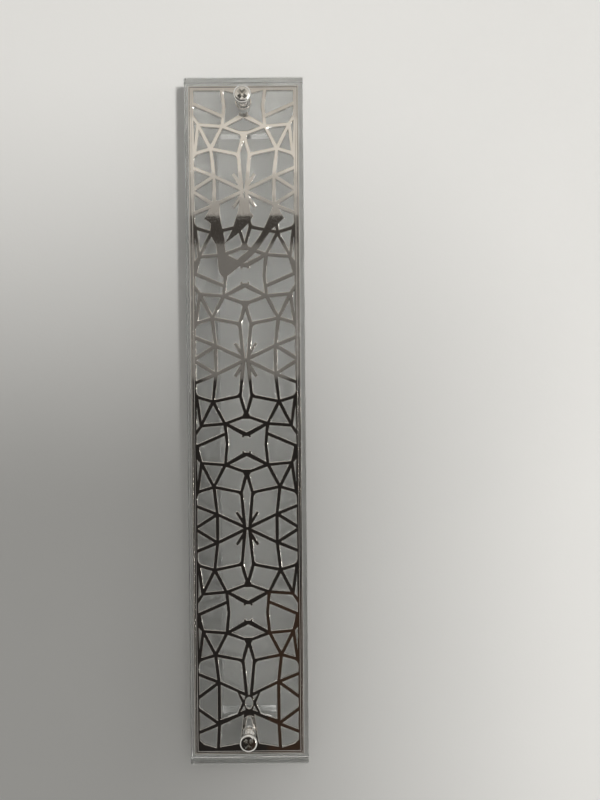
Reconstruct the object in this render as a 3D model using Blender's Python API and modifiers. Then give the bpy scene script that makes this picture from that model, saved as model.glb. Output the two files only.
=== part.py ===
"""Mezuzah case: a clear acrylic block with a scroll channel cut into its back, a pierced
metal plate with the letter shin on its front, and two screws that fix it to a doorpost.

The case lies on its back. X runs across it, +Y towards its top end, +Z out of its front.
The origin is the middle of the back face. Metres.
"""
import math

import bmesh
import bpy
from mathutils import Vector

MM = 0.001
GAP = 0.3 * MM                      # between pieces that touch

# Acrylic block and the scroll channel in its back
BLOCK_WIDTH = 31.75 * MM
BLOCK_LENGTH = 184.0 * MM
BLOCK_THICKNESS = 12.7 * MM
BLOCK_EDGE = 0.35 * MM              # polished edge break
CHANNEL_WIDTH = 14.4 * MM
CHANNEL_TOP = 77.2 * MM             # y of the channel's two end walls
CHANNEL_BOTTOM = -78.5 * MM
CHANNEL_DEPTH = 10.0 * MM

# Front plate: outer size, border and the engraved line that follows its edge
PLATE_WIDTH = 29.3 * MM
PLATE_TOP = 89.5 * MM
PLATE_BOTTOM = -88.9 * MM
PLATE_THICKNESS = 1.5 * MM
SIDE_BORDER = 1.5 * MM
TOP_BORDER = 1.4 * MM
LINE_INSET = 0.45 * MM
LINE_WIDTH = 0.35 * MM
LINE_DEPTH = 0.3 * MM

# Lattice: a pattern of bars that mirrors about each window and each star
BAR = 1.1 * MM                      # width of every bar
TOP_WINDOW = 84.2 * MM              # y of the centre of the uppermost window
WINDOW_PITCH = 45.0 * MM
WINDOW_COUNT = 4
HALF_PITCH = WINDOW_PITCH / 2
INNER_X = PLATE_WIDTH / 2 - SIDE_BORDER
TOP_EDGE = PLATE_TOP - TOP_BORDER   # y of the top border's inner edge

# Screws
SCREW_HOLE_RADIUS = 1.7 * MM
SCREW_TOP_Y = 85.3 * MM
SCREW_BOTTOM_Y = -83.2 * MM
SHANK_RADIUS = 1.4 * MM
HEAD_RADIUS = 2.35 * MM
HEAD_HEIGHT = 1.7 * MM
SHANK_LENGTH = 25.0 * MM
TIP_LENGTH = 4.0 * MM
TIP_Z = 0.35 * MM                   # height of the point of a screw that stands on the table
RECESS_LENGTH = 2.7 * MM
RECESS_WIDTH = 0.75 * MM
RECESS_DEPTH = 1.1 * MM
RECESS_TAPER = 0.45                 # length of the recess at its bottom, as a share of its top
RECESS_TURNS_DEG = (45, 135)
CROWN_RISE = 0.45                   # share of the head's height that its crown curves over
CROWN_STEPS = 6
ROUND_STEPS = 32
SHARP_ANGLE = math.radians(35)
WELD_MM = 0.002                     # points of a drawn outline closer than this are one

PLATE_BACK = BLOCK_THICKNESS + GAP
HEAD_SEAT_Z = TIP_Z + SHANK_LENGTH


def mm(x, y):
    """A plan point given in millimetres."""
    return Vector((x * MM, y * MM))


# Junctions of one half cell: x from the centre line, then the distance from the window's
# centre towards the star.
APEX = mm(0, 2.75)
SIDE = mm(5.15, 0)
VERTEX = mm(5.7, 5.5)
BLOB = mm(0, 7.55)
ARM = mm(8.8, 11.4)
COLLAR = mm(1.5, 12.9)
ELBOW = mm(7.95, 18.7)
STAR = Vector((0, HALF_PITCH))
STAR_SHOULDER = Vector((0.6 * MM, HALF_PITCH))
TOP_BAR_X = 5.74 * MM               # where the first window's side bars meet the top border
SPIKE_TIP = mm(2.9, 18.0)
NODE = mm(12.1, 4.95)
SLANT_SIDE = mm(5.4, 2.9)
SLANT_BORDER = Vector((INNER_X, -0.45 * MM))
BRIDGE = Vector((INNER_X, 3.4 * MM))
BORDER_AT_ARM = Vector((INNER_X, 12.7 * MM))
BORDER_ABOVE_ELBOW = Vector((INNER_X, 16.6 * MM))
BORDER_BELOW_ELBOW = Vector((INNER_X, 21.95 * MM))
SPIKE_HALF_WIDTH = 0.5 * MM
HOLE_RADII = Vector((SCREW_HOLE_RADIUS, SCREW_HOLE_RADIUS))
EYE_RADII = mm(2.25, 2.25)          # rim of metal round the top screw's hole
CURVE_STEPS = 4                     # straight runs in a rounded corner
BLOB_CUT = 1.1 * MM                 # how far corners are cut back at a junction's blob
KITE_CUT = 0.5 * MM
COLLAR_CURVE = 0.8 * MM
BORDER_CURVE = 1.2 * MM
NUB_RADIUS = 0.42 * MM
NUB_CENTRE = mm(0.92, 2.05)

# The lowest star is drawn out into a ring; distances run from the lowest window's centre.
RING = mm(0, 24.3)
RING_RADII = mm(0.95, 1.5)
RING_WAIST = mm(2.0, 24.3)
RING_SHOULDER = mm(3.2, 21.5)
RING_BORDER = Vector((INNER_X, 22.5 * MM))


# ---------------------------------------------------------------- scene

def clear_scene():
    for old in list(bpy.data.objects):
        bpy.data.objects.remove(old, do_unlink=True)


def new_collection(name):
    collection = bpy.data.collections.new(name)
    bpy.context.scene.collection.children.link(collection)
    return collection


def principled(name, color, roughness, metallic, transmission=0.0):
    material = bpy.data.materials.new(name)
    material.use_nodes = True
    shader = material.node_tree.nodes["Principled BSDF"]
    shader.inputs["Base Color"].default_value = (*color, 1.0)
    shader.inputs["Roughness"].default_value = roughness
    shader.inputs["Metallic"].default_value = metallic
    shader.inputs["Transmission Weight"].default_value = transmission
    return material


def mesh_object(name, mesh, collection, location=(0, 0, 0)):
    made = bpy.data.objects.new(name, mesh)
    made.location = location
    collection.objects.link(made)
    return made


def hide_cutter(cutter):
    cutter.hide_render = True
    cutter.display_type = "WIRE"
    return cutter


def box(name, low, high, collection):
    """A box between two opposite corners."""
    low, high = Vector(low), Vector(high)
    shape = bmesh.new()
    bmesh.ops.create_cube(shape, size=1.0)
    bmesh.ops.scale(shape, vec=high - low, verts=shape.verts)
    mesh = bpy.data.meshes.new(name)
    shape.to_mesh(mesh)
    shape.free()
    return mesh_object(name, mesh, collection, (low + high) / 2)


def smooth_mesh(name, shape):
    """A mesh that shades smooth except across its real edges."""
    mesh = bpy.data.meshes.new(name)
    shape.to_mesh(mesh)
    shape.free()
    mesh.shade_smooth()
    mesh.set_sharp_from_angle(angle=SHARP_ANGLE)
    return mesh


def cylinder(name, radius, low_z, high_z, centre, collection):
    shape = bmesh.new()
    bmesh.ops.create_cone(shape, cap_ends=True, segments=ROUND_STEPS, radius1=radius,
                          radius2=radius, depth=high_z - low_z)
    mesh = smooth_mesh(name, shape)
    return mesh_object(name, mesh, collection, (*centre, (low_z + high_z) / 2))


def sheet(name, splines, thickness, base_z, collection):
    """A flat sheet from closed outlines; outlines inside another one are holes in it.

    The curve is drawn in millimetres, because a curve's fill loses details this small when
    they are drawn in metres, and its mesh is then brought down to metres.
    """
    curve = bpy.data.curves.new(name, "CURVE")
    curve.dimensions = "2D"
    curve.fill_mode = "BOTH"
    curve.extrude = thickness / 2 / MM
    for add_spline in splines:
        add_spline(curve)
    drawn = bpy.data.objects.new(name + "_outline", curve)
    collection.objects.link(drawn)
    drawn.location.z = base_z + thickness / 2
    bpy.context.view_layer.update()
    evaluated = drawn.evaluated_get(bpy.context.evaluated_depsgraph_get())
    mesh = bpy.data.meshes.new_from_object(evaluated)
    shape = bmesh.new()
    shape.from_mesh(mesh)
    bmesh.ops.remove_doubles(shape, verts=shape.verts, dist=WELD_MM)
    bmesh.ops.scale(shape, vec=(MM, MM, MM), verts=shape.verts)
    bmesh.ops.recalc_face_normals(shape, faces=shape.faces)
    shape.to_mesh(mesh)
    shape.free()
    made = mesh_object(name, mesh, collection)
    made.matrix_world = drawn.matrix_world
    bpy.data.objects.remove(drawn, do_unlink=True)
    return made


def straight_outline(points):
    """Adds a closed outline of straight runs to a curve."""
    def add(curve):
        spline = curve.splines.new("POLY")
        spline.points.add(len(points) - 1)
        for target, point in zip(spline.points, points):
            target.co = (point.x / MM, point.y / MM, 0, 1)
        spline.use_cyclic_u = True
    return add


def brush_outline(points, offset):
    """Adds a closed brush-stroke outline; each point is (x, y, is_corner) in millimetres."""
    def add(curve):
        spline = curve.splines.new("BEZIER")
        spline.resolution_u = 4
        spline.bezier_points.add(len(points) - 1)
        for target, (x, y, is_corner) in zip(spline.bezier_points, points):
            target.co = (x + offset.x / MM, y + offset.y / MM, 0)
            handle = "VECTOR" if is_corner else "AUTO"
            target.handle_left_type = handle
            target.handle_right_type = handle
        spline.use_cyclic_u = True
    return add


def boolean(target, other, operation):
    cut = target.modifiers.new(operation.lower() + "_" + other.name, "BOOLEAN")
    cut.operation = operation
    cut.solver = "EXACT"
    cut.object = other


# ---------------------------------------------------------------- plan geometry

def cross(a, b):
    return a.x * b.y - a.y * b.x


def meet(point_a, along_a, point_b, along_b):
    """Where two plan lines cross."""
    reach = cross(point_b - point_a, along_b) / cross(along_a, along_b)
    return point_a + along_a * reach


def left_of(along):
    return Vector((-along.y, along.x)).normalized()


def signed_area(points):
    return sum(cross(a, b) for a, b in zip(points, points[1:] + points[:1])) / 2


def on_border(a, b):
    """Whether the side from a to b lies on the border's own inner edge."""
    return abs(abs(a.x) - INNER_X) < 0.001 * MM and abs(a.x - b.x) < 0.001 * MM


def opening(corners, flat_sides=()):
    """The hole left between bars whose centre lines run round these corners.

    Sides on the border, and the sides numbered in flat_sides, are edges rather than bars.
    """
    turn = 1 if signed_area(corners) > 0 else -1
    sides = []
    for number, (a, b) in enumerate(zip(corners, corners[1:] + corners[:1])):
        is_edge = on_border(a, b) or number in flat_sides
        inset = 0.0 if is_edge else BAR / 2
        sides.append((a + left_of(b - a) * turn * inset, b - a))
    return [meet(*sides[number - 1], *sides[number]) for number in range(len(sides))]


def cut_corner(points, number, length, steps=1):
    """Replaces one corner of an outline by a straight run, or by a curve of several steps."""
    corner = points[number]
    before = (points[number - 1] - corner).normalized() * length
    after = (points[(number + 1) % len(points)] - corner).normalized() * length
    run = [corner + before * (1 - step / steps) ** 2 + after * (step / steps) ** 2
           for step in range(steps + 1)]
    return points[:number] + run + points[number + 1:]


def arc(centre, radii, start_deg, end_deg, steps):
    """Points along part of an ellipse, both ends included."""
    angles = [math.radians(start_deg + (end_deg - start_deg) * step / steps)
              for step in range(steps + 1)]
    return [centre + Vector((radii.x * math.cos(a), radii.y * math.sin(a))) for a in angles]


def flip(point):
    """The same place on the other side of the centre line."""
    return Vector((-point.x, point.y))


def below(point):
    """The same place on the other side of the window's centre."""
    return Vector((point.x, -point.y))


def past_star(point, star_distance=HALF_PITCH):
    """The same place on the other side of a star."""
    return Vector((point.x, 2 * star_distance - point.y))


# ---------------------------------------------------------------- openings of the lattice

def diamond():
    points = opening([APEX, VERTEX, BLOB, flip(VERTEX)])
    return cut_corner(points, 2, BLOB_CUT)


def kite():
    points = opening([VERTEX, ARM, COLLAR, BLOB])
    return cut_corner(points, 3, KITE_CUT)


def flame():
    return opening([BLOB, COLLAR, STAR_SHOULDER, flip(STAR_SHOULDER), flip(COLLAR)])


def star_quad():
    """The opening between collar, arm, elbow and star."""
    quad = opening([COLLAR, ARM, ELBOW, STAR, STAR_SHOULDER])
    star_corner = meet(quad[2], quad[3] - quad[2], quad[4], quad[0] - quad[4])
    return cut_corner(quad[:3] + [star_corner], 0, COLLAR_CURVE, CURVE_STEPS)


def spiked_quad():
    """The same opening with a free spike that reaches into it from the star."""
    quad = opening([COLLAR, ARM, ELBOW, STAR, STAR_SHOULDER])
    along = (SPIKE_TIP - STAR).normalized()
    across = left_of(along) * SPIKE_HALF_WIDTH
    outer_root = meet(quad[2], quad[3] - quad[2], STAR + across, along)
    inner_root = meet(quad[4], quad[0] - quad[4], STAR - across, along)
    spike = [outer_root, SPIKE_TIP + across, SPIKE_TIP - across, inner_root]
    return cut_corner(quad[:3] + spike, 0, COLLAR_CURVE, CURVE_STEPS)


def half_cell_sides(ends_in_ring):
    """The openings of a half cell that exist on both sides of the centre line."""
    last_border = RING_BORDER if ends_in_ring else BORDER_BELOW_ELBOW
    bar_outer = NODE.x + BAR / 2
    slit = [Vector((INNER_X, 4.3 * MM)), Vector((bar_outer, NODE.y)), Vector((INNER_X, 10.4 * MM))]
    return [
        kite(),
        star_quad() if ends_in_ring else spiked_quad(),
        opening([VERTEX, NODE, ARM]),
        opening([NODE, BORDER_AT_ARM, ARM]),
        slit,
        cut_corner(opening([ARM, BORDER_AT_ARM, BORDER_ABOVE_ELBOW, ELBOW]), 1, BORDER_CURVE,
                   CURVE_STEPS),
        opening([ELBOW, BORDER_ABOVE_ELBOW, last_border]),
    ]


def star_sides():
    """The openings that lie across the line through a star."""
    behind_border = meet(ELBOW, BORDER_BELOW_ELBOW - ELBOW, STAR, Vector((1, 0)))
    return [
        opening([ELBOW, behind_border, past_star(ELBOW)]),
        opening([ELBOW, STAR, past_star(ELBOW)]),
    ]


def slanted_side():
    """The side opening above the slanted bar, in the half cell that the bar leans into."""
    return opening([VERTEX, SLANT_SIDE, SLANT_BORDER, BRIDGE, NODE])


def plain_side():
    """The side opening on the other half, from the slanted bar to the next junctions."""
    return opening([below(SLANT_BORDER), mm(12.75, 2.6), NODE, VERTEX, SIDE, below(SLANT_SIDE)])


def apex_with_nubs():
    """The window's edge past a diamond's apex, which carries two small round nubs."""
    radii = Vector((NUB_RADIUS, NUB_RADIUS))
    right = arc(NUB_CENTRE, radii, 45, -180, 6)
    return right + [flip(point) for point in reversed(right)]


def window():
    outline = opening([SIDE, VERTEX, APEX, flip(VERTEX), flip(SIDE),
                       below(flip(VERTEX)), below(APEX), below(VERTEX)])
    far_nubs = [below(point) for point in reversed(apex_with_nubs())]
    return outline[:2] + apex_with_nubs() + outline[3:6] + far_nubs + outline[7:]


def top_window(centre_y):
    """The uppermost window, cut off by the border and carrying the eye of the top screw."""
    edge = TOP_EDGE - centre_y
    eye = Vector((0, SCREW_TOP_Y - centre_y))
    lower = opening([SIDE, below(VERTEX), below(APEX), flip(below(VERTEX)), flip(SIDE),
                     Vector((-TOP_BAR_X, edge)), Vector((TOP_BAR_X, edge))], flat_sides=(5,))
    nubs = [below(point) for point in apex_with_nubs()]
    ring = arc(eye, EYE_RADII, 125, 415, 20)
    return lower[:2] + nubs + lower[3:6] + ring + lower[6:]


def top_side(centre_y):
    """The side opening between the top border and the first slanted bar."""
    edge = TOP_EDGE - centre_y
    return opening([below(SLANT_SIDE), SIDE, Vector((TOP_BAR_X, edge)), Vector((INNER_X, edge)),
                    below(SLANT_BORDER)], flat_sides=(2,))


def ring_openings():
    """The openings round the drawn-out star at the plate's foot, right-hand side."""
    mirror = RING.y
    elbow_below = past_star(ELBOW, mirror)
    waist = opening([ELBOW, mm(0, 22.0), elbow_below])
    waist = [waist[0], RING_SHOULDER, RING_WAIST, past_star(RING_SHOULDER, mirror), waist[2]]
    slit = [mm(1.1, 22.5), mm(2.1, 22.1), mm(1.35, 23.35)]
    return [
        waist,
        slit,
        [past_star(point, mirror) for point in slit],
        opening([ELBOW, RING_BORDER, past_star(RING_BORDER, mirror), elbow_below]),
        opening([elbow_below, past_star(RING_BORDER, mirror),
                 past_star(BORDER_ABOVE_ELBOW, mirror)]),
    ]


def foot_openings():
    """The openings between the ring and the bottom border, right-hand side."""
    elbow = past_star(ELBOW, RING.y)
    border = past_star(BORDER_ABOVE_ELBOW, RING.y)
    corner = opening([elbow, border, Vector((INNER_X, 34.2 * MM)), mm(12.0, 35.2), mm(8.3, 36.4)],
                     flat_sides=(2, 3))
    middle = opening([elbow, mm(8.3, 36.1), mm(2.7, 35.1), mm(1.48, 31.2), mm(0.82, 26.6)],
                     flat_sides=(1, 2))
    return [corner, middle]


def keyhole(centre_y):
    """The foot's middle opening: a narrow wedge that widens into the bottom screw's eye."""
    eye = Vector((0, centre_y - SCREW_BOTTOM_Y))
    wedge_top = mm(0.42, 28.0)
    return arc(eye, HOLE_RADII, -52, 232, 22) + [flip(wedge_top), wedge_top]


def placed(points, centre_y, direction, side):
    """A half cell's outline put on the plate."""
    return [Vector((point.x * side, centre_y + point.y * direction)) for point in points]


def lattice_openings():
    """Every hole in the plate, as outlines in plate coordinates."""
    holes = []

    def both_sides(outlines, centre_y, direction):
        for outline in outlines:
            for side in (1, -1):
                holes.append(placed(outline, centre_y, direction, side))

    centres = [TOP_WINDOW - WINDOW_PITCH * number for number in range(WINDOW_COUNT)]
    for number, centre_y in enumerate(centres):
        is_top = number == 0
        is_lowest = number == WINDOW_COUNT - 1
        slant = -1 if number < WINDOW_COUNT / 2 else 1
        for direction in ((-1,) if is_top else (1, -1)):
            holes.append(placed(diamond(), centre_y, direction, 1))
            holes.append(placed(flame(), centre_y, direction, 1))
            both_sides(half_cell_sides(is_lowest and direction < 0), centre_y, direction)
            both_sides([slanted_side() if direction == slant else plain_side()],
                       centre_y, direction)
        if is_top:
            holes.append(placed(top_window(centre_y), centre_y, 1, 1))
            both_sides([top_side(centre_y)], centre_y, 1)
        else:
            holes.append(placed(window(), centre_y, 1, 1))
        if is_lowest:
            both_sides(ring_openings(), centre_y, -1)
            both_sides(foot_openings(), centre_y, -1)
            holes.append(placed(arc(RING, RING_RADII, 0, 340, 17), centre_y, -1, 1))
            holes.append(placed(keyhole(centre_y), centre_y, -1, 1))
        else:
            both_sides(star_sides(), centre_y, -1)
    holes.append(arc(Vector((0, SCREW_TOP_Y)), HOLE_RADII, 0, 345, 23))
    return holes


# ---------------------------------------------------------------- pieces

def make_acrylic_body(parts, cutters):
    """The clear block, with the scroll channel in its back and a hole for each screw."""
    half_width = BLOCK_WIDTH / 2
    half_length = BLOCK_LENGTH / 2
    block = box("acrylic_body", (-half_width, -half_length, 0),
                (half_width, half_length, BLOCK_THICKNESS), parts)
    edge = block.modifiers.new("polished_edges", "BEVEL")
    edge.width = BLOCK_EDGE
    edge.segments = 2
    channel = box("channel_cutter", (-CHANNEL_WIDTH / 2, CHANNEL_BOTTOM, -2 * MM),
                  (CHANNEL_WIDTH / 2, CHANNEL_TOP, CHANNEL_DEPTH), cutters)
    boolean(block, hide_cutter(channel), "DIFFERENCE")
    for name, y in (("top_hole_cutter", SCREW_TOP_Y), ("bottom_hole_cutter", SCREW_BOTTOM_Y)):
        hole = cylinder(name, SCREW_HOLE_RADIUS, -2 * MM, BLOCK_THICKNESS + 2 * MM,
                        (0, y), cutters)
        boolean(block, hide_cutter(hole), "DIFFERENCE")
    block.data.materials.append(principled("clear_acrylic", (0.93, 0.95, 0.95), 0.03, 0.0, 1.0))
    return block


def rectangle(half_width, low_y, high_y):
    return [Vector((-half_width, low_y)), Vector((half_width, low_y)),
            Vector((half_width, high_y)), Vector((-half_width, high_y))]


# The letter's two strokes, in millimetres from the centre of the window that it covers
LETTER_BODY = [
    (-8.0, 20.0, True), (-9.2, 17.8, False), (-10.8, 15.0, True), (-9.2, 13.9, False),
    (-8.0, 10.0, False), (-7.3, 4.0, False), (-6.8, 0.7, False), (-5.5, -0.9, True),
    (-2.3, 1.6, False), (2.8, 6.0, False), (7.0, 11.6, False), (10.7, 15.2, True),
    (9.4, 17.4, False), (8.2, 20.0, True), (7.2, 17.4, False), (3.6, 10.0, False),
    (-1.0, 5.15, False), (-3.6, 3.75, False), (-4.9, 6.2, False), (-5.3, 10.5, False),
    (-6.3, 15.4, False), (-6.4, 20.0, True),
]
LETTER_MIDDLE = [
    (-0.1, 21.4, True), (1.0, 18.0, False), (2.6, 15.8, True), (-0.8, 11.8, False),
    (-5.4, 8.3, True), (-3.6, 11.8, False), (-1.7, 17.2, False),
]


def make_lattice_plate(parts, cutters):
    """The pierced plate: border, bars and the letter, all one sheet."""
    plate = box("lattice_plate", (-PLATE_WIDTH / 2, PLATE_BOTTOM, PLATE_BACK),
                (PLATE_WIDTH / 2, PLATE_TOP, PLATE_BACK + PLATE_THICKNESS), parts)
    holes = sheet("openings_cutter", [straight_outline(hole) for hole in lattice_openings()],
                  PLATE_THICKNESS + 2 * MM, PLATE_BACK - 1 * MM, cutters)
    letter_at = Vector((0, TOP_WINDOW - WINDOW_PITCH))
    for name, stroke in (("letter_body", LETTER_BODY), ("letter_middle", LETTER_MIDDLE)):
        letter = sheet(name, [brush_outline(stroke, letter_at)], PLATE_THICKNESS + 4 * MM,
                       PLATE_BACK - 2 * MM, cutters)
        boolean(holes, hide_cutter(letter), "DIFFERENCE")
    boolean(plate, hide_cutter(holes), "DIFFERENCE")
    outer = rectangle(PLATE_WIDTH / 2 - LINE_INSET, PLATE_BOTTOM + LINE_INSET,
                      PLATE_TOP - LINE_INSET)
    reach = LINE_INSET + LINE_WIDTH
    inner = rectangle(PLATE_WIDTH / 2 - reach, PLATE_BOTTOM + reach, PLATE_TOP - reach)
    line = sheet("line_cutter", [straight_outline(outer), straight_outline(inner)],
                 2 * LINE_DEPTH, PLATE_BACK + PLATE_THICKNESS - LINE_DEPTH, cutters)
    boolean(plate, hide_cutter(line), "DIFFERENCE")
    plate.data.materials.append(principled("polished_steel", (0.78, 0.76, 0.74), 0.08, 1.0))
    return plate


def screw_profile():
    """Half the screw's section, from the top of its head down to its point."""
    angles = [math.pi / 2 * step / CROWN_STEPS for step in range(CROWN_STEPS + 1)]
    crown = [Vector((HEAD_RADIUS * math.sin(a), HEAD_HEIGHT * (1 - CROWN_RISE * (1 - math.cos(a)))))
             for a in angles]
    return crown + [
        Vector((HEAD_RADIUS, 0)),
        Vector((SHANK_RADIUS, 0)),
        Vector((SHANK_RADIUS, TIP_LENGTH - SHANK_LENGTH)),
        Vector((0, -SHANK_LENGTH)),
    ]


def turned(name, profile):
    """A closed round body from half its section, which starts and ends on the Z axis."""
    shape = bmesh.new()
    verts = [shape.verts.new((point.x, 0, point.y)) for point in profile]
    edges = [shape.edges.new(pair) for pair in zip(verts, verts[1:])]
    bmesh.ops.spin(shape, geom=verts + edges, cent=(0, 0, 0), axis=(0, 0, 1),
                   angle=2 * math.pi, steps=ROUND_STEPS, use_merge=True)
    bmesh.ops.remove_doubles(shape, verts=shape.verts, dist=WELD_MM * MM)
    bmesh.ops.recalc_face_normals(shape, faces=shape.faces)
    return smooth_mesh(name, shape)


def recess_cutter(name, turn_deg, centre, cutters):
    """One bar of the cross recess, narrower end to end at its bottom."""
    slot = bmesh.new()
    bmesh.ops.create_cube(slot, size=1.0)
    for vertex in slot.verts:
        taper = RECESS_TAPER if vertex.co.z < 0 else 1.0
        vertex.co.x *= RECESS_LENGTH * taper
        vertex.co.y *= RECESS_WIDTH
        vertex.co.z *= 2 * RECESS_DEPTH
    mesh = bpy.data.meshes.new(name)
    slot.to_mesh(mesh)
    slot.free()
    cutter = mesh_object(name, mesh, cutters, centre)
    cutter.rotation_euler.z = math.radians(turn_deg)
    return hide_cutter(cutter)


def make_screw(name, y, material, parts, cutters):
    """A cross-recess screw; its origin is the middle of the seat under its head."""
    screw = mesh_object(name, turned(name, screw_profile()), parts, (0, y, HEAD_SEAT_Z))
    head_top = (0, y, HEAD_SEAT_Z + HEAD_HEIGHT)
    for turn_deg in RECESS_TURNS_DEG:
        cutter = recess_cutter(f"{name}_recess_{turn_deg}", turn_deg, head_top, cutters)
        boolean(screw, cutter, "DIFFERENCE")
    screw.data.materials.append(material)
    return screw


def main():
    clear_scene()
    parts = new_collection("mezuzah_case")
    cutters = new_collection("cutters")
    make_acrylic_body(parts, cutters)
    make_lattice_plate(parts, cutters)
    chrome = principled("chromed_screw", (0.8, 0.8, 0.8), 0.12, 1.0)
    make_screw("top_screw", SCREW_TOP_Y, chrome, parts, cutters)
    make_screw("bottom_screw", SCREW_BOTTOM_Y, chrome, parts, cutters)


main()
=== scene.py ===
"""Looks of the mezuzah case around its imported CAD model: clear acrylic block, mirror-polished
pierced plate and two bright threaded screws, lying on a pale table under soft studio light.

Metres. X runs across the case, +Y towards its top end, +Z out of its front, which faces up.
"""
import math

import bmesh
import bpy
from mathutils import Matrix, Vector
from mathutils.geometry import delaunay_2d_cdt


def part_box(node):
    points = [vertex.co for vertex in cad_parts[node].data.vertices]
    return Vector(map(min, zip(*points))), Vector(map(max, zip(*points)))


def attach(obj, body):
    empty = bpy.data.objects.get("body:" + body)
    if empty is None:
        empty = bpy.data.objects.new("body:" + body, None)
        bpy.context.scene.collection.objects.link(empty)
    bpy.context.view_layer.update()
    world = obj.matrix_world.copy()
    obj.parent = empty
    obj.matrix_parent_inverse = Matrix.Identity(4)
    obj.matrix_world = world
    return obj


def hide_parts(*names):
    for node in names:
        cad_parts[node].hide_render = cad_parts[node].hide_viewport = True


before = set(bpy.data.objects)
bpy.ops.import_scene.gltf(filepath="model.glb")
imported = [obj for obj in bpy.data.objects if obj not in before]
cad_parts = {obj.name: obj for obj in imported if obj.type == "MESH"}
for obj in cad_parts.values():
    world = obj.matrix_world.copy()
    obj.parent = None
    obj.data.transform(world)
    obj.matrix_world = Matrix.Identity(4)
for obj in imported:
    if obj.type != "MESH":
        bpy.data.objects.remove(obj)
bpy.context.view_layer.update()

MM = 0.001

# Camera, looking down on the case
CAMERA_PLACE = Vector((9.7, 13.8, 450.0)) * MM
CAMERA_TURN = (-0.0182, -0.0109, -0.0093)
CAMERA_LENS = 73.5                  # mm, for a 36 mm long side

# Table
FLOOR_SIZE = 4.0
FLOOR_THICKNESS = 0.02
FLOOR_DROP = 0.2 * MM               # between the case and the table

# Cards, which only show in the case
CARD_HEIGHT = 0.884                 # of the ceiling strips that the plate's front mirrors
CEILING_REACH = 0.6
FAR_CEILING_Y = 0.215               # where each strip starts, from the case's top end down
BRIGHT_CEILING_Y = 0.172
FADING_CEILING_Y = 0.152
CEILING_EDGE_Y = 0.1375
DARK_BEAM_Y = 0.115
DIM_CEILING_Y = 0.007
WARM_CORNER_X = -0.004              # the corner lies right of this, below WARM_CORNER_Y
WARM_CORNER_Y = -0.162
WARM_CORNER_DROP = 0.01             # below the other strips
ROOM_REACH = 1.5
ROOM_HEIGHT = 0.95
ROOM_GLOW = 1.0
WINDOW_X = 1.0
WINDOW_Y = (-0.064, -0.040)
WINDOW_Z = (0.2, 0.8)
WINDOW_GLOW = 25.0
INNER_GLOW_HEIGHT = 0.15
INNER_GLOW_LOW = (-0.3, 0.05)
INNER_GLOW_HIGH = (0.2, 0.6)
INNER_GLOW = 0.75

# Lights
KEY_PLACE = Vector((0.35, 0.12, 1.6))
KEY_POWER = 62.0
KEY_RADIUS = 0.06
KEY_SPREAD_DEG = 150
KEY_BLEND = 0.2
KEY_EDGE = 0.018                    # half width of the soft edge of the key light's mask
SHADE_X = 0.037                     # the key light leaves the table left of this, below SHADE_Y
SHADE_Y = 0.038
WORLD_STRENGTH = 0.27
OVERHEAD_PLACE = (0.1, 0.15, 1.1)
OVERHEAD_SIZE = (0.9, 0.9)
OVERHEAD_POWER = 1.2
SIDE_PLACE = (0.7, 0.1, 0.35)
SIDE_SIZE = (0.25, 0.6)
SIDE_POWER = 0.3
AIM = (0, 0.02, 0)                  # of both area lights
PATH_BOUNCES = 24                   # times that light may meet a surface

# Screws
ROUND_STEPS = 48
THREAD_PITCH = 1.3 * MM
THREAD_DEPTH = 0.32 * MM
THREAD_TOP_GAP = 2.2 * MM           # plain neck under the head
THREAD_STEEPNESS = 3.2              # how fast the crest falls away, in crest heights to the pitch
RINGS_PER_TURN = 10
SHANK_RADIUS = 1.4 * MM
TIP_LENGTH = 4.0 * MM
TIP_SHARE = 0.12                    # radius of the blunt point, as a share of the shank's
NECK_GAP = 0.15 * MM                # between the neck's top ring and the head
HEAD_RADIUS = 2.35 * MM
HEAD_HEIGHT = 1.7 * MM
HEAD_FLARE = 0.05 * MM              # height of the flare under the head
HEAD_CHAMFER = 0.12 * MM
SHOULDER_HEIGHT = 0.75 * MM
SHOULDER_REACH = 0.62 * MM
SHOULDER_STEPS = 6
RECESS_LENGTH = 2.7 * MM
RECESS_WIDTH = 1.0 * MM
RECESS_DEPTH = 1.45 * MM
RECESS_TOP_SHARES = (1.06, 1.05)    # of the length and the width, just above the head
RECESS_FOOT_SHARES = (0.2, 0.4)
RECESS_RISE = 0.1 * MM              # of the cutter above the head
RECESS_TURNS_DEG = (45, 135)
SCREW_SHARP_DEG = 35

# Plate
PLATE_EDGE = 0.18 * MM              # polished-over edge of every bar
PLATE_EDGE_STEPS = 4
WELD = 0.002 * MM
PLATE_SHARP_DEG = 50
NEAR_CROSSING = 0.8                 # mm
STRAIGHT = 0.99999                  # cosine of the turn below which a run is straight
SHARPEST_MITRE = 0.1                # keeps the mitre of a hairpin corner short
FLAT_NORMAL = 0.999                 # least upward part of the normal of a flat face
TOP_NORMAL = 0.9                    # and of a face of the plate's top
WALL_NORMAL = 0.5                   # most upward part of the normal of a wall


# ---------------------------------------------------------------- node helpers

def new_material(name):
    """A material with its shader, and the two helpers that add and join nodes."""
    material = bpy.data.materials.new(name)
    material.use_nodes = True
    tree = material.node_tree
    shader = tree.nodes["Principled BSDF"]

    def add(kind, **values):
        node = tree.nodes.new(kind)
        for key, value in values.items():
            if key in node.inputs:
                node.inputs[key].default_value = value
            else:
                setattr(node, key, value)
        return node

    def join(source, socket, target, into):
        tree.links.new(source.outputs[socket], target.inputs[into])

    return material, shader, add, join


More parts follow.
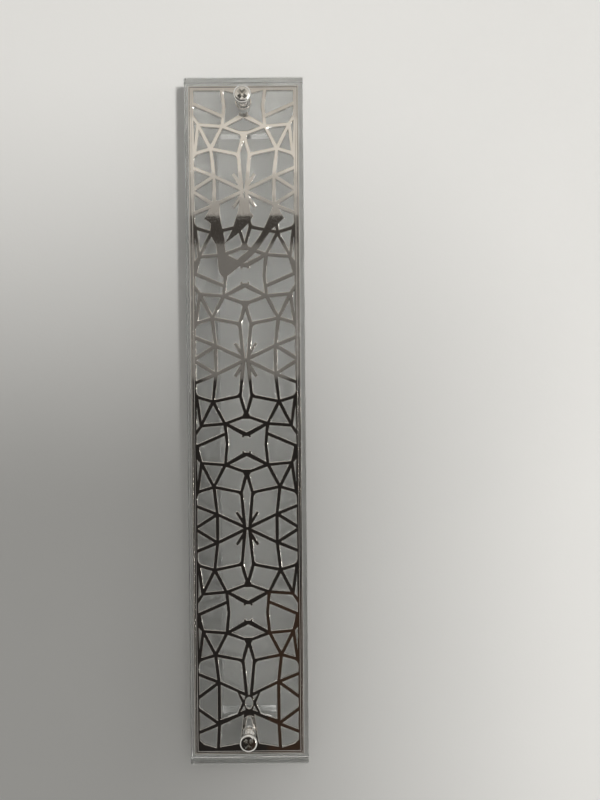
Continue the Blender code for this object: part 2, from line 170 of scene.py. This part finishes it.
def noise(add, join, scale, detail=3.0, stretch=(1.0, 1.0, 1.0)):
    """Noise in object space. Scale is in lumps to the metre before the stretch."""
    place = add("ShaderNodeTexCoord")
    mapping = add("ShaderNodeMapping")
    mapping.inputs["Scale"].default_value = stretch
    texture = add("ShaderNodeTexNoise", Scale=scale, Detail=detail)
    join(place, "Object", mapping, "Vector")
    join(mapping, "Vector", texture, "Vector")
    return texture


def tint(add, join, shader, scale, dark, light, detail=3.0):
    """A colour that drifts between two tones in soft clouds."""
    ramp = add("ShaderNodeValToRGB")
    ramp.color_ramp.elements[0].color = (*dark, 1)
    ramp.color_ramp.elements[1].color = (*light, 1)
    join(noise(add, join, scale, detail), "Fac", ramp, "Fac")
    join(ramp, "Color", shader, "Base Color")


def roughen(add, join, shader, texture, low, high, from_low=0.3, from_high=0.7):
    """Roughness that runs from low to high over the stretch of the texture."""
    spread = add("ShaderNodeMapRange")
    spread.inputs["From Min"].default_value = from_low
    spread.inputs["From Max"].default_value = from_high
    spread.inputs["To Min"].default_value = low
    spread.inputs["To Max"].default_value = high
    join(texture, "Fac", spread, "Value")
    join(spread, "Result", shader, "Roughness")


def bump(add, join, shader, texture, height):
    """Raises the surface by the texture, height metres from low to high."""
    relief = add("ShaderNodeBump", Strength=1.0)
    relief.inputs["Distance"].default_value = height
    join(texture, "Fac", relief, "Height")
    join(relief, "Normal", shader, "Normal")


# ---------------------------------------------------------------- materials

def clear_acrylic():
    """Clear block with faint clouds, fine lengthwise scuffs and a slow ripple."""
    material, shader, add, join = new_material("clear_acrylic")
    shader.inputs["Transmission Weight"].default_value = 1.0
    shader.inputs["IOR"].default_value = 1.49
    tint(add, join, shader, 60.0, (0.93, 0.945, 0.94), (0.985, 0.99, 0.985))
    scuffs = noise(add, join, 900.0, 4.0, (1.0, 0.15, 1.0))
    roughen(add, join, shader, scuffs, 0.0, 0.06, 0.55, 0.8)
    bump(add, join, shader, noise(add, join, 45.0, 2.0), 0.02 * MM)
    return material


def polished_steel():
    """Mirror polish with fine hazy grain and a barely wavy face."""
    material, shader, add, join = new_material("polished_steel")
    shader.inputs["Metallic"].default_value = 1.0
    tint(add, join, shader, 220.0, (0.66, 0.635, 0.60), (0.78, 0.765, 0.745))
    roughen(add, join, shader, noise(add, join, 1800.0, 4.0), 0.015, 0.06, 0.4, 0.75)
    bump(add, join, shader, noise(add, join, 90.0, 2.0), 0.003 * MM)
    return material


def chromed_screw():
    """Bright plating with pits under a tenth of a millimetre."""
    material, shader, add, join = new_material("chromed_screw")
    shader.inputs["Metallic"].default_value = 1.0
    tint(add, join, shader, 900.0, (0.62, 0.61, 0.59), (0.83, 0.82, 0.80))
    pits = noise(add, join, 4200.0, 5.0)
    roughen(add, join, shader, pits, 0.06, 0.22, 0.4, 0.8)
    bump(add, join, shader, pits, 0.006 * MM)
    return material


def table_top():
    """Pale matt table with a fine grain."""
    material, shader, add, join = new_material("table_top")
    shader.inputs["Specular IOR Level"].default_value = 0.3
    tint(add, join, shader, 14.0, (0.74, 0.735, 0.72), (0.80, 0.795, 0.78), 5.0)
    grain = noise(add, join, 1500.0, 4.0)
    roughen(add, join, shader, grain, 0.5, 0.7)
    bump(add, join, shader, grain, 0.02 * MM)
    return material


def glowing_card(name, color, strength):
    """An even glow, for the cards."""
    material = bpy.data.materials.new(name)
    material.use_nodes = True
    tree = material.node_tree
    tree.nodes.clear()
    glow = tree.nodes.new("ShaderNodeEmission")
    glow.inputs["Color"].default_value = (*color, 1)
    glow.inputs["Strength"].default_value = strength
    output = tree.nodes.new("ShaderNodeOutputMaterial")
    tree.links.new(glow.outputs["Emission"], output.inputs["Surface"])
    return material


# ---------------------------------------------------------------- shapes

def from_bmesh(name, shape):
    """Settles a bmesh as an object of the scene."""
    mesh = bpy.data.meshes.new(name)
    bmesh.ops.recalc_face_normals(shape, faces=shape.faces)
    shape.to_mesh(mesh)
    shape.free()
    made = bpy.data.objects.new(name, mesh)
    bpy.context.scene.collection.objects.link(made)
    return made


def turned(name, rings):
    """A closed body from rings of (z, radius at each angle), bottom to top, capped at both ends."""
    shape = bmesh.new()
    rows = []
    for height, radius_at in rings:
        row = []
        for step in range(ROUND_STEPS):
            angle = 2 * math.pi * step / ROUND_STEPS
            radius = radius_at(angle)
            row.append(shape.verts.new((radius * math.cos(angle), radius * math.sin(angle), height)))
        rows.append(row)
    for lower, upper in zip(rows, rows[1:]):
        for step in range(ROUND_STEPS):
            following = (step + 1) % ROUND_STEPS
            shape.faces.new((lower[step], lower[following], upper[following], upper[step]))
    shape.faces.new(list(reversed(rows[0])))
    shape.faces.new(rows[-1])
    return from_bmesh(name, shape)


def thread_rings(tip_z, seat_z):
    """The threaded shank: a point, a thread that dies out near the head, and a plain neck."""
    top = seat_z - THREAD_TOP_GAP
    core = SHANK_RADIUS - THREAD_DEPTH
    count = int((top - tip_z) / THREAD_PITCH * RINGS_PER_TURN)
    rings = []
    for number in range(count + 1):
        height = tip_z + (top - tip_z) * number / count
        taper = min(1.0, TIP_SHARE + (1.0 - TIP_SHARE) * (height - tip_z) / TIP_LENGTH)
        fade = min(1.0, (top - height) / THREAD_PITCH)

        def radius_at(angle, height=height, taper=taper, fade=fade):
            turn = (height / THREAD_PITCH - angle / (2 * math.pi)) % 1.0
            crest = max(0.0, 1.0 - THREAD_STEEPNESS * abs(turn - 0.5))
            return taper * (core + THREAD_DEPTH * crest * fade)

        rings.append((height, radius_at))
    rings.append((seat_z - THREAD_TOP_GAP / 2, lambda angle: core))
    rings.append((seat_z - NECK_GAP, lambda angle: core))
    return rings


def head_rings(seat_z):
    """A pan head: flared underside, upright rim, rounded shoulder and flat top."""
    rings = [(seat_z - HEAD_FLARE, lambda angle: SHANK_RADIUS)]
    rings.append((seat_z, lambda angle: HEAD_RADIUS - HEAD_CHAMFER))
    rings.append((seat_z + HEAD_CHAMFER, lambda angle: HEAD_RADIUS))
    for step in range(SHOULDER_STEPS + 1):
        rise = math.pi / 2 * step / SHOULDER_STEPS
        height = seat_z + HEAD_HEIGHT - SHOULDER_HEIGHT * (1 - math.sin(rise))
        radius = HEAD_RADIUS - SHOULDER_REACH * (1 - math.cos(rise))
        rings.append((height, lambda angle, radius=radius: radius))
    return rings


def cross_cutter(top_z):
    """A tapered cross, deep in the middle, for the driver recess."""
    shape = bmesh.new()
    for turn in RECESS_TURNS_DEG:
        made = bmesh.ops.create_cube(shape, size=1.0)["verts"]
        for vert in made:
            deep = vert.co.z < 0
            length_share, width_share = RECESS_FOOT_SHARES if deep else RECESS_TOP_SHARES
            vert.co.x *= RECESS_LENGTH * length_share
            vert.co.y *= RECESS_WIDTH * width_share
            vert.co.z = top_z - RECESS_DEPTH if deep else top_z + RECESS_RISE
        spin = Matrix.Rotation(math.radians(turn), 3, "Z")
        bmesh.ops.rotate(shape, verts=made, cent=(0, 0, 0), matrix=spin)
    return from_bmesh("recess_cutter", shape)


def cut(target, cutter):
    """Takes the cutter's shape out of the target for good."""
    modifier = target.modifiers.new("cut", "BOOLEAN")
    modifier.operation = "DIFFERENCE"
    modifier.solver = "EXACT"
    modifier.use_self = True
    modifier.object = cutter
    evaluated = target.evaluated_get(bpy.context.evaluated_depsgraph_get())
    settled = bpy.data.meshes.new_from_object(evaluated)
    target.modifiers.clear()
    target.data = settled
    bpy.data.objects.remove(cutter, do_unlink=True)


def detailed_screw(node, body, material):
    """The screw that stands for a plain CAD one: same size and place, with thread and recess."""
    low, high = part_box(node)
    seat_z = high.z - HEAD_HEIGHT
    rings = thread_rings(low.z, seat_z) + head_rings(seat_z)
    screw = turned(node + "_detail", rings)
    cut(screw, cross_cutter(high.z))
    screw.location = ((low.x + high.x) / 2, (low.y + high.y) / 2, 0)
    screw.data.materials.clear()
    screw.data.materials.append(material)
    for face in screw.data.polygons:
        face.use_smooth = True
    bpy.context.view_layer.update()
    screw.data.set_sharp_from_angle(angle=math.radians(SCREW_SHARP_DEG))
    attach(screw, body)
    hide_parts(node)


def dress(node, material):
    """Gives a CAD node its finish."""
    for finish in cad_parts[node].material_slots:
        finish.material = material


def outlines_of(part, height):
    """The closed outlines of a CAD node's flat top: plan points with the metal on their left, and
    the height of the wall's foot under each."""
    shape = bmesh.new()
    shape.from_mesh(part.data)
    bmesh.ops.remove_doubles(shape, verts=shape.verts, dist=WELD)
    following = {}
    foot = {}
    for face in shape.faces:
        if face.normal.z < TOP_NORMAL or face.calc_center_median().z < height - WELD:
            continue
        for corner in face.loops:
            for wall in corner.edge.link_faces:
                if abs(wall.normal.z) < WALL_NORMAL:
                    following[corner.vert] = corner.link_loop_next.vert
                    foot[corner.vert] = min(vert.co.z for vert in wall.verts)
    outlines = []
    while following:
        vert = next(iter(following))
        lowest = foot[vert]
        points = []
        while vert in following:
            points.append(vert.co.xy / MM)
            vert = following.pop(vert)
        outlines.append((without_straight_points(points), lowest))
    shape.free()
    return outlines


def without_straight_points(points):
    """The same outline in fewer points: those that lie on a straight run go."""
    kept = []
    for number, point in enumerate(points):
        before = (point - points[number - 1]).normalized()
        after = (points[(number + 1) % len(points)] - point).normalized()
        if before.dot(after) < STRAIGHT:
            kept.append(point)
    return kept


def moved_in(points, distances):
    """The outline moved into the metal, each point by its own distance, with mitred corners."""
    moved = []
    for number, (point, distance) in enumerate(zip(points, distances)):
        before = (point - points[number - 1]).normalized()
        after = (points[(number + 1) % len(points)] - point).normalized()
        left = Vector((-before.y - after.y, before.x + after.x))
        mitre = left / max(1 + before.dot(after), SHARPEST_MITRE)
        moved.append(point + mitre * distance)
    return moved


def triangles_in(rings):
    """Triangles over plan outlines: (corner numbers, how many outlines hold it), and the places
    where outlines cross."""
    points = [point for ring in rings for point in ring]
    faces = []
    start = 0
    for ring in rings:
        numbers = list(range(start, start + len(ring)))
        faces.append(numbers if turns_left(ring) else numbers[::-1])
        start += len(ring)
    places, _, triangles, sources, _, holders = delaunay_2d_cdt(points, [], faces, 0, WELD, True)
    crossings = [place for place, source in zip(places, sources) if not source]
    if crossings:
        return [], crossings
    return [([sources[corner][0] for corner in triangle], len(inside))
            for triangle, inside in zip(triangles, holders)], []


def insets_that_clear(outlines):
    """How far each point can move in: the full edge radius, halved wherever outlines would cross."""
    insets = [[PLATE_EDGE / MM] * len(points) for points in outlines]
    while True:
        rings = [moved_in(points, inset) for points, inset in zip(outlines, insets)]
        _, crossings = triangles_in(rings)
        if not crossings:
            return insets
        for points, inset in zip(outlines, insets):
            for number, point in enumerate(points):
                if min((point - place).length for place in crossings) < NEAR_CROSSING:
                    inset[number] /= 2


def turns_left(points):
    """Whether the outline runs anticlockwise, from the sign of the area that it holds."""
    return sum(points[n - 1].cross(points[n]) for n in range(len(points))) > 0


def cap(shape, rings, upward):
    """Fills the flat metal between level rings of vertices: what an odd number of rings hold."""
    verts = [vert for ring in rings for vert in ring]
    triangles, _ = triangles_in([[vert.co.xy for vert in ring] for ring in rings])
    for corners, holders in triangles:
        if holders % 2 == 1:
            picked = [verts[corner] for corner in corners]
            if not upward:
                picked.reverse()
            shape.faces.new(picked)


def rounded_plate(node, body, material):
    """The pierced plate with its edges polished over, on the outlines of its CAD node."""
    low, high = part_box(node)
    shape = bmesh.new()
    outlines = outlines_of(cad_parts[node], high.z)
    insets = insets_that_clear([points for points, _ in outlines])
    tops = []
    feet = {}
    for (points, foot), full_inset in zip(outlines, insets):
        rings = [[shape.verts.new((point.x, point.y, foot / MM)) for point in points]]
        for step in range(PLATE_EDGE_STEPS + 1):
            angle = math.pi / 2 * step / PLATE_EDGE_STEPS
            share = 1 - math.cos(angle)
            height = high.z - PLATE_EDGE * (1 - math.sin(angle))
            ring = moved_in(points, [share * inset for inset in full_inset])
            rings.append([shape.verts.new((point.x, point.y, height / MM)) for point in ring])
        for lower, upper in zip(rings, rings[1:]):
            for number in range(len(points)):
                corners = (lower[number - 1], lower[number], upper[number], upper[number - 1])
                shape.faces.new(corners)
        tops.append(rings[-1])
        feet.setdefault(round(foot, 5), []).append(rings[0])
    cap(shape, tops, True)
    for foot, rings in feet.items():
        cap(shape, rings, foot > low.z + WELD)
    bmesh.ops.scale(shape, vec=(MM, MM, MM), verts=shape.verts)
    plate = from_bmesh(node + "_detail", shape)
    plate.data.materials.append(material)
    plate.data.set_sharp_from_angle(angle=math.radians(PLATE_SHARP_DEG))
    for face in plate.data.polygons:
        face.use_smooth = abs(face.normal.z) < FLAT_NORMAL
    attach(plate, body)
    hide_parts(node)


# ---------------------------------------------------------------- stage

def make_table():
    shape = bmesh.new()
    bmesh.ops.create_cube(shape, size=1.0)
    for vert in shape.verts:
        vert.co.x *= FLOOR_SIZE
        vert.co.y *= FLOOR_SIZE
        vert.co.z = -FLOOR_DROP if vert.co.z > 0 else -FLOOR_DROP - FLOOR_THICKNESS
    table = from_bmesh("table", shape)
    table.data.materials.append(table_top())


def card(name, faces, color, strength):
    """A glowing card in the room that only shows in reflections."""
    shape = bmesh.new()
    for corners in faces:
        shape.faces.new([shape.verts.new(corner) for corner in corners])
    made = from_bmesh(name, shape)
    made.data.materials.append(glowing_card(name, color, strength))
    made.visible_camera = False
    made.visible_diffuse = False
    made.visible_shadow = False
    made.visible_transmission = False
    return made


def level(low, high, height):
    """Corners of a level rectangle."""
    return [(low[0], low[1], height), (high[0], low[1], height),
            (high[0], high[1], height), (low[0], high[1], height)]


def upright(start, end, foot, top):
    """Corners of an upright rectangle over the line from start to end."""
    return [(*start, foot), (*end, foot), (*end, top), (*start, top)]


def make_room():
    """Bright walls around the case, which rim the polished edges."""
    reach = ROOM_REACH
    corners = [(-reach, -reach), (reach, -reach), (reach, reach), (-reach, reach)]
    following = corners[1:] + corners[:1]
    faces = [upright(start, end, 0.0, ROOM_HEIGHT) for start, end in zip(corners, following)]
    card("room", faces, (1.0, 0.97, 0.92), ROOM_GLOW)


def make_ceiling():
    """The strips over the case that the plate's flat front mirrors, from its top end down."""
    side = CEILING_REACH

    def strip(name, foot, top, color, strength):
        card(name, [level((-side, foot), (side, top), CARD_HEIGHT)], color, strength)

    strip("far_ceiling", FAR_CEILING_Y, side, (1.0, 0.94, 0.84), 0.62)
    strip("bright_ceiling", BRIGHT_CEILING_Y, FAR_CEILING_Y, (1.0, 0.94, 0.84), 0.82)
    strip("fading_ceiling", FADING_CEILING_Y, BRIGHT_CEILING_Y, (1.0, 0.95, 0.86), 0.58)
    strip("ceiling_edge", CEILING_EDGE_Y, FADING_CEILING_Y, (1.0, 0.95, 0.87), 0.42)
    strip("dark_beam", DARK_BEAM_Y, CEILING_EDGE_Y, (1.0, 0.9, 0.8), 0.06)
    strip("dim_ceiling", DIM_CEILING_Y, DARK_BEAM_Y, (1.0, 0.95, 0.88), 0.19)
    strip("dark_ceiling", -side, DIM_CEILING_Y, (1.0, 0.88, 0.80), 0.02)
    corner = level((WARM_CORNER_X, -side), (side, WARM_CORNER_Y), CARD_HEIGHT - WARM_CORNER_DROP)
    card("warm_corner", [corner], (1.0, 0.62, 0.42), 0.04)


def make_window():
    """A narrow bright window low on the right: the glints along upright edges."""
    start, end = [(WINDOW_X, y) for y in WINDOW_Y]
    card("window", [upright(start, end, *WINDOW_Z)], (1.0, 0.97, 0.9), WINDOW_GLOW)


def make_inner_glow():
    """A card low over the block's top half that only light coming out of the block meets: it
    brightens the table seen through the block."""
    shape = level(INNER_GLOW_LOW, INNER_GLOW_HIGH, INNER_GLOW_HEIGHT)
    glow = card("inner_glow", [shape], (1.0, 0.97, 0.93), INNER_GLOW)
    glow.visible_glossy = False
    glow.visible_transmission = True


def area_light(name, place, size, power, color):
    """A rectangular light that looks at the case."""
    data = bpy.data.lights.new(name, "AREA")
    data.shape = "RECTANGLE"
    data.size, data.size_y = size
    data.energy = power
    data.color = color
    light = bpy.data.objects.new(name, data)
    light.location = place
    light.rotation_euler = (Vector(AIM) - Vector(place)).to_track_quat("-Z", "Y").to_euler()
    bpy.context.scene.collection.objects.link(light)
    return light


def make_world(color, strength):
    world = bpy.data.worlds.new("studio")
    bpy.context.scene.world = world
    world.use_nodes = True
    back = world.node_tree.nodes["Background"]
    back.inputs["Color"].default_value = (*color, 1)
    back.inputs["Strength"].default_value = strength


def plain_colors():
    """Shows colours as they are, without a film look."""
    bpy.context.scene.view_settings.view_transform = "Standard"


def let_light_run_inside():
    """Lets light cross the clear block often enough that no side of it comes out black."""
    paths = bpy.context.scene.cycles
    paths.max_bounces = PATH_BOUNCES
    paths.glossy_bounces = PATH_BOUNCES
    paths.transmission_bounces = PATH_BOUNCES


def make_camera():
    data = bpy.data.cameras.new("camera")
    data.sensor_width = 36.0
    data.lens = CAMERA_LENS
    data.clip_start = 0.01
    data.clip_end = 20.0
    camera = bpy.data.objects.new("camera", data)
    camera.location = CAMERA_PLACE
    camera.rotation_euler = CAMERA_TURN
    bpy.context.scene.collection.objects.link(camera)
    bpy.context.scene.camera = camera


def math_node(tree, operation, *inputs):
    """A math node on sockets and plain numbers."""
    node = tree.nodes.new("ShaderNodeMath")
    node.operation = operation
    for number, value in enumerate(inputs):
        if isinstance(value, bpy.types.NodeSocket):
            tree.links.new(value, node.inputs[number])
        else:
            node.inputs[number].default_value = value
    return node.outputs[0]


def smooth_step(tree, value, middle):
    """Rises from 0 to 1 as the value passes the middle, over the key light's soft edge."""
    step = tree.nodes.new("ShaderNodeMapRange")
    step.interpolation_type = "SMOOTHSTEP"
    step.inputs["From Min"].default_value = middle - KEY_EDGE
    step.inputs["From Max"].default_value = middle + KEY_EDGE
    tree.links.new(value, step.inputs["Value"])
    return step.outputs["Result"]


def lit_part_of_table(tree):
    """1 where the key light's beam is let through and 0 where it is masked.

    The light looks straight down, so a beam meets the table at the light's own place minus its
    height times the beam's slope.
    """
    beam = tree.nodes.new("ShaderNodeTexCoord")
    parts = tree.nodes.new("ShaderNodeSeparateXYZ")
    tree.links.new(beam.outputs["Normal"], parts.inputs["Vector"])
    sides = []
    for axis, own_place, edge in (("X", KEY_PLACE.x, SHADE_X), ("Y", KEY_PLACE.y, SHADE_Y)):
        slope = math_node(tree, "DIVIDE", parts.outputs[axis], parts.outputs["Z"])
        place = math_node(tree, "MULTIPLY_ADD", slope, -KEY_PLACE.z, own_place)
        sides.append(smooth_step(tree, place, edge))
    return math_node(tree, "MAXIMUM", *sides)


def make_key_light():
    """The key light, masked like a theatre lamp so that it leaves the table's lower left in shade."""
    data = bpy.data.lights.new("key", "SPOT")
    data.energy = KEY_POWER
    data.shadow_soft_size = KEY_RADIUS
    data.spot_size = math.radians(KEY_SPREAD_DEG)
    data.spot_blend = KEY_BLEND
    data.color = (1.0, 0.99, 0.97)
    data.use_nodes = True
    lamp = data.node_tree.nodes["Emission"]
    data.node_tree.links.new(lit_part_of_table(data.node_tree), lamp.inputs["Strength"])
    light = bpy.data.objects.new("key", data)
    light.location = KEY_PLACE
    bpy.context.scene.collection.objects.link(light)


def make_lights():
    make_key_light()
    make_world((0.99, 0.98, 0.94), WORLD_STRENGTH)
    overhead = area_light("overhead", OVERHEAD_PLACE, OVERHEAD_SIZE, OVERHEAD_POWER,
                          (1.0, 0.99, 0.97))
    overhead.visible_glossy = False
    area_light("side", SIDE_PLACE, SIDE_SIZE, SIDE_POWER, (1.0, 0.98, 0.94))
    make_room()
    make_ceiling()
    make_window()
    make_inner_glow()


make_camera()
plain_colors()
let_light_run_inside()
make_lights()
make_table()
dress("acrylic_body", clear_acrylic())
rounded_plate("lattice_plate", "case", polished_steel())
screw_metal = chromed_screw()
detailed_screw("top_screw", "top_screw", screw_metal)
detailed_screw("bottom_screw", "bottom_screw", screw_metal)

bpy.context.view_layer.update()
